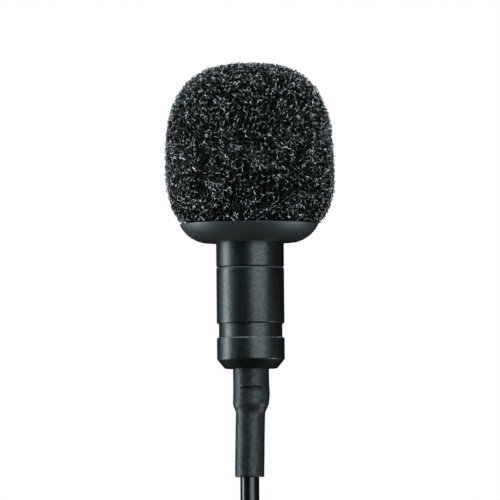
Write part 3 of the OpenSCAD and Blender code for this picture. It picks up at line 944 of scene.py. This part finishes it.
def makeRelief():
    low, high, _ = span("strain_relief")
    rng = np.random.default_rng(relief["seed"])
    waves = [(rng.integers(1, 6), rng.uniform(0.4, 1.6), rng.uniform(0, fullPhase),
              rng.uniform(0.3, 1.0)) for _ in range(relief["waves"])]
    slit, zone = relief["slit"], relief["slitZone"]
    heights = np.unique(np.concatenate([
        np.linspace(low, high, relief["rows"]),
        np.linspace(slit - zone, slit + zone, relief["slitRows"])]))
    drop = smoothStep((relief["step"] - heights) / relief["taper"])
    outer = relief["wide"] + (relief["narrow"] - relief["wide"]) * drop
    outer[0] -= relief["tuck"]
    outline = [(relief["inner"], low)] + list(zip(outer, heights)) + [(relief["inner"], high)]
    points, faces = lathe(outward(outline)[0], relief["sides"])
    r = np.hypot(points[:, 0], points[:, 1])
    a = np.arctan2(points[:, 1], points[:, 0])
    z = points[:, 2]
    ripple = sum(w * np.sin(k * a + f * z * 2 + p) for k, f, p, w in waves) / len(waves)
    skin = r > relief["skinFrom"]
    # angle from the front, where the cut is, between half a turn each way
    front = (a + math.pi / 2 - relief["slitTurn"] + math.pi) % (2 * math.pi) - math.pi
    reach = smoothStep((relief["slitReach"] - np.abs(front)) / relief["slitFade"])
    away = z - slit + relief["slitSag"] * (front / 0.6) ** 2
    cut = np.clip(1 - (np.abs(away) / relief["slitHalf"]) ** 3, 0, 1) * reach
    lip = np.exp(-((away - relief["lipRise"]) / relief["lipWidth"]) ** 2) * reach
    fade, fadeTop = relief["patchFade"]
    patch = smoothStep((relief["patchHalf"] - np.abs(front - relief["patchTurn"])) / fade)
    patch = patch * smoothStep((z - relief["patchLow"]) / fade)
    patch = patch * smoothStep((slit - relief["patchGap"] - z) / fadeTop)
    (first, last), spread = relief["bulgeTurns"], relief["bulgeSpread"]
    bulge = smoothStep((a - first) / spread) * smoothStep((last - a) / spread)
    bulge = bulge * np.exp(-((z - relief["bulgeMiddle"]) / spread) ** 2)
    grown = (r + relief["ripple"] * ripple + relief["lip"] * lip + relief["bulge"] * bulge
             - relief["patch"] * patch)
    r = np.where(skin, grown - relief["slitDepth"] * cut, r)
    points = np.stack([r * np.cos(a) + leanAt(z), r * np.sin(a), z], axis=1)
    piece = addPiece("strainRelief", meshFrom("strainRelief", points, faces, 55),
                     "microphone", materials["relief"])
    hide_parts("strain_relief")


makeRelief()
print("strain relief made")

plug = {
    "centre": (1.6, 8.2), "bore": 0.82,
    # outlines below are (outward, up) from the place that the code names
    "bootFoot": (2.15, 0.9), "bootTop": ((1.35, -0.3), (1.15, 0)),
    "ribs": 5, "ribStart": 1.3, "ribPitch": 1.15, "ribFoot": 2.1, "ribTaper": 0.75,
    "taperFrom": 1.0,
    "rib": ((0, 0), (-0.35, 0.12), (-0.38, 0.4), (-0.04, 0.52)),
    "shellBore": 1.45, "shellFloor": 7.0, "shellTop": 2.3, "shoulder": 1.2,
    "shell": ((-0.6, 0), (0, 0.6), (0, 2.2), (-0.16, 2.35), (-0.16, 2.75), (0, 2.9)),
    # piece, its bare length, and its stem's inner and outer radius
    "contacts": {"plug_sleeve": ("plugSleeve", 5.3, 1.3, 1.44),
                 "plug_back_ring": ("plugBackRing", 1.9, 1.0, 1.2),
                 "plug_front_ring": ("plugFrontRing", 1.9, 0.7, 0.9)},
    "tipStem": 0.6,
    "tip": ((0, 0), (0.42, 0.03), (0.7, 0.25), (1.62, 1.55), (1.62, 1.8), (1.2, 2.3),
            (1.35, 3.1), (0.6, 3.1)),
}


def moved(outline, r, z):
    return [(r + dr, z + dz) for dr, dz in outline]


def makePlug():
    centre, bore, shellBore = plug["centre"], plug["bore"], plug["shellBore"]
    low, high, radius = span("plug_boot")
    ribs = []
    for i in range(plug["ribs"]):
        z = low + plug["ribStart"] + i * plug["ribPitch"]
        share = (z - low - plug["taperFrom"]) / (high - low - plug["ribStart"])
        r = plug["ribFoot"] - plug["ribTaper"] * share
        ribs += moved(plug["rib"], r, z)
    boot = ([(bore, low), (radius, low)] + moved([plug["bootFoot"]], 0, low) + ribs
            + moved(plug["bootTop"], 0, high) + [(bore, high)])
    turnedPiece("plugBoot", "plug_boot", boot, "moulding", 0.08, 96, centre)
    low, high, radius = span("plug_housing")
    pocket = low + plug["shellFloor"]
    shell = [(shellBore, low)] + moved(plug["shell"], radius, low) + [
        (radius, high - plug["shoulder"]), (plug["shellTop"], high), (bore, high),
        (bore, pocket), (shellBore, pocket)]
    turnedPiece("plugHousing", "plug_housing", shell, "moulding", 0.15, 120,
                centre)
    for node, (name, bare, stemBore, stem) in plug["contacts"].items():
        low, high, radius = span(node)
        outline = [(stemBore, low), (radius, low), (radius, low + bare), (stem, low + bare),
                   (stem, high), (stemBore, high)]
        turnedPiece(name, node, outline, "plating", 0.04, 96, centre)
    low, high, _ = span("plug_tip")
    tip = moved(plug["tip"], 0, low) + [(plug["tipStem"], high), (0, high)]
    turnedPiece("plugTip", "plug_tip", tip, "plating", 0.1, 96, centre)


makePlug()
print("plug made")

tie = {
    "thickness": 0.9, "corner": 1.4, "step": 0.5, "around": 28,
    "start": -1.8, "tabFrom": -5.0, "tabTo": 7.0,
    # the loose end climbs over the start in two slopes: (along, share of the thickness)
    "climb": ((0.6, 0.55), (2.4, 1.0)),
    "flatness": 0.96, "squareness": (0.35, 0.22),
    "endTaper": (0.22, 1.5),    # how much narrower the ends are, and over what length
    "waves": ((0.06, 0.37), (0.04, 0.91)),
    "fuzz": 0.012, "seed": 3,
}


def roundedTrack(halfX, halfY):
    # the strap's line round the hank: from the front, once round, and back over the front
    track = []
    corner = tie["corner"]

    def straight(a, b):
        count = max(2, int(math.dist(a, b) / tie["step"]))
        track.extend([(a[0] + (b[0] - a[0]) * k / count, a[1] + (b[1] - a[1]) * k / count)
                      for k in range(count)])

    def bend(cx, cy, fromAngle):
        track.extend([(cx + corner * math.cos(math.radians(t)),
                       cy + corner * math.sin(math.radians(t)))
                      for t in np.linspace(fromAngle, fromAngle + 90, 9)[:-1]])

    inX, inY = halfX - corner, halfY - corner
    straight((tie["start"], -halfY), (inX, -halfY))
    bend(inX, -inY, -90)
    straight((halfX, -inY), (halfX, inY))
    bend(inX, inY, 0)
    straight((inX, halfY), (-inX, halfY))
    bend(-inX, inY, 90)
    straight((-halfX, inY), (-halfX, -inY))
    bend(-inX, -inY, 180)
    here = (-inX, -halfY)
    for along, share in tie["climb"]:
        ahead = (tie["tabFrom"] + along, -halfY - tie["thickness"] * share)
        straight(here, ahead)
        here = ahead
    end = (tie["tabTo"], here[1])
    straight(here, end)
    track.append(end)
    return np.array(track)


def makeTie():
    low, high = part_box("cable_tie")
    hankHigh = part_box("cable_hank")[1]
    thickness = tie["thickness"]
    width = (high.z - low.z) / mm
    middle = (high.z + low.z) / 2 / mm
    track = roundedTrack(high.x / mm - thickness / 2, hankHigh.y / mm + thickness / 2)
    ahead = np.gradient(track, axis=0)
    ahead /= np.linalg.norm(ahead, axis=1, keepdims=True)
    side = np.stack([ahead[:, 1], -ahead[:, 0]], axis=1)
    # rounded cross-section: (out of the strap, along the microphone)
    section = []
    powerOut, powerAlong = tie["squareness"]
    for k in range(tie["around"]):
        t = 2 * math.pi * k / tie["around"]
        c, s = math.cos(t), math.sin(t)
        section.append((thickness / 2 * tie["flatness"] * math.copysign(abs(c) ** powerOut, c),
                        width / 2 * math.copysign(abs(s) ** powerAlong, s)))
    points, faces = [], []
    n, last = len(section), len(track) - 1
    narrower, over = tie["endTaper"]
    rng = np.random.default_rng(tie["seed"])
    for i, (p, q) in enumerate(zip(track, side)):
        fromEnd = min(i, last - i) * tie["step"]
        taper = 1 - narrower * max(0, 1 - fromEnd / over) ** 2
        wave = sum(size * math.sin(i * pace) for size, pace in tie["waves"])
        for u, v in section:
            out = u + rng.normal() * tie["fuzz"]
            points.append((p[0] + q[0] * out, p[1] + q[1] * out,
                           middle + v * taper + wave * (v / width)))
    for i in range(last):
        for k in range(n):
            m = (k + 1) % n
            faces.append((i * n + k, (i + 1) * n + k, (i + 1) * n + m, i * n + m))
    faces.append(tuple(range(n)))
    faces.append(tuple(range(last * n, (last + 1) * n))[::-1])
    piece = addPiece("cableTie", meshFrom("cableTie", points, faces, 60), "microphone",
                     materials["strap"])
    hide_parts("cable_tie")


makeTie()
print("tie made")


nodeFinishes = {
    "cap_mesh": "steelMesh", "acoustic_cloth": "cloth", "capsule_boot": "bootRubber",
    "capsule_can": "canMetal", "diaphragm_ring": "brass", "diaphragm": "film",
    "diaphragm_spacer": "plastic", "backplate": "brass", "backplate_holder": "plastic",
    "contact_ring": "brass", "jfet": "chip", "chip_capacitors": "ceramic",
    "capsule_board": "board", "solder_joints": "solder", "signal_wires": "wire",
    "o_ring": "bootRubber", "crimp_ferrule": "brass", "shield_braid": "braid",
    "plug_insulators": "insulatorBlack", "front_cap": "body",
}
for node, finishName in nodeFinishes.items():
    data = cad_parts[node].data
    data.materials.clear()
    data.materials.append(materials[finishName])
print("finishes on carried pieces:", len(nodeFinishes))

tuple(cord["exit"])


studio = {
    "floorDrop": 0.05,          # floor below the lowest point
    "floorSize": 4.0,
    "floorColour": (0.86, 0.86, 0.85),
    "floorInGloss": (0.02, 0.02, 0.02),
    "ambient": 0.0025,
    "tint": (0.83, 1.0, 1.05),
}
lamps = {
    # azimuth is 0 towards the camera and 90 to its right; brightness is the panel's own
    "leftPanel": {"azimuth": -91, "elevation": 4, "distance": 0.3, "size": (0.12, 0.32),
                  "brightness": 10.5},
    "rightPanel": {"azimuth": 30, "elevation": 9, "distance": 0.35, "size": (0.33, 0.3),
                   "brightness": 4.6},
    "topPanel": {"azimuth": -10, "elevation": 60, "distance": 0.35, "size": (0.26, 0.16),
                 "brightness": 8.0},
    "backPanel": {"azimuth": 170, "elevation": 42, "distance": 0.35, "size": (0.3, 0.15),
                  "brightness": 4.0},
    "lowLeft": {"azimuth": -103, "elevation": -24, "distance": 0.16, "size": (0.07, 0.04),
                "brightness": 10.5},
    "lowFront": {"azimuth": 5, "elevation": -42, "distance": 0.3, "size": (0.3, 0.08),
                 "brightness": 0.6},
    "lowRight": {"azimuth": 86, "elevation": -31, "distance": 0.16, "size": (0.07, 0.04),
                 "brightness": 11.5},
}


def floorPaint():
    # evenly pale to look at, and dark in reflections, so the black parts stay black
    material, tree, shader = newMaterial("floorPaint")
    path = tree.nodes.new("ShaderNodeLightPath")
    black = (0, 0, 0, 1)
    tree.links.new(mixColour(tree, path.outputs["Is Camera Ray"],
                             (*studio["floorInGloss"], 1), black), shader.inputs["Base Color"])
    tree.links.new(mixColour(tree, path.outputs["Is Camera Ray"], black,
                             (*studio["floorColour"], 1)), shader.inputs["Emission Color"])
    shader.inputs["Emission Strength"].default_value = 1.0
    shader.inputs["Specular IOR Level"].default_value = 0.0
    shader.inputs["Roughness"].default_value = 0.8
    return material


def makeFloor():
    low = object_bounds()[0].z - studio["floorDrop"]
    half = studio["floorSize"] / 2
    mesh = bpy.data.meshes.new("floor")
    mesh.from_pydata([(-half, -half, low), (half, -half, low), (half, half, low),
                      (-half, half, low)], [], [(0, 1, 2, 3)])
    floor = putInScene("floor", mesh)
    mesh.materials.append(floorPaint())


def makeLamps():
    for name, s in lamps.items():
        data = bpy.data.lights.new(name, "AREA")
        data.shape = "RECTANGLE"
        data.size, data.size_y = s["size"]
        data.color = studio["tint"]
        data.energy = s["brightness"] * math.pi * s["size"][0] * s["size"][1]
        lamp = putInScene(name, data)
        a, e = math.radians(s["azimuth"]), math.radians(s["elevation"])
        away = Vector((math.sin(a) * math.cos(e), -math.cos(a) * math.cos(e), math.sin(e)))
        lamp.location = Vector((0, 0, cameraSettings["aimHeight"])) + away * s["distance"]
        lamp.rotation_euler = (-away).to_track_quat("-Z", "Y").to_euler()
        lamp.visible_camera = False


def makeWorld():
    world = bpy.data.worlds.new("studio")
    bpy.context.scene.world = world
    world.use_nodes = True
    tree = world.node_tree
    backdrop = tree.nodes["Background"]
    backdrop.inputs["Color"].default_value = (1, 1, 1, 1)
    backdrop.inputs["Strength"].default_value = 1.0
    room = addNode(tree, "ShaderNodeBackground", Strength=studio["ambient"])
    room.inputs["Color"].default_value = (*studio["tint"], 1)
    path = tree.nodes.new("ShaderNodeLightPath")
    mix = tree.nodes.new("ShaderNodeMixShader")
    tree.links.new(path.outputs["Is Camera Ray"], mix.inputs[0])
    tree.links.new(room.outputs[0], mix.inputs[1])
    tree.links.new(backdrop.outputs[0], mix.inputs[2])
    tree.links.new(mix.outputs[0], tree.nodes["World Output"].inputs["Surface"])


makeFloor()
makeLamps()
makeWorld()
bpy.context.scene.view_settings.view_transform = "Standard"
print("studio ready")
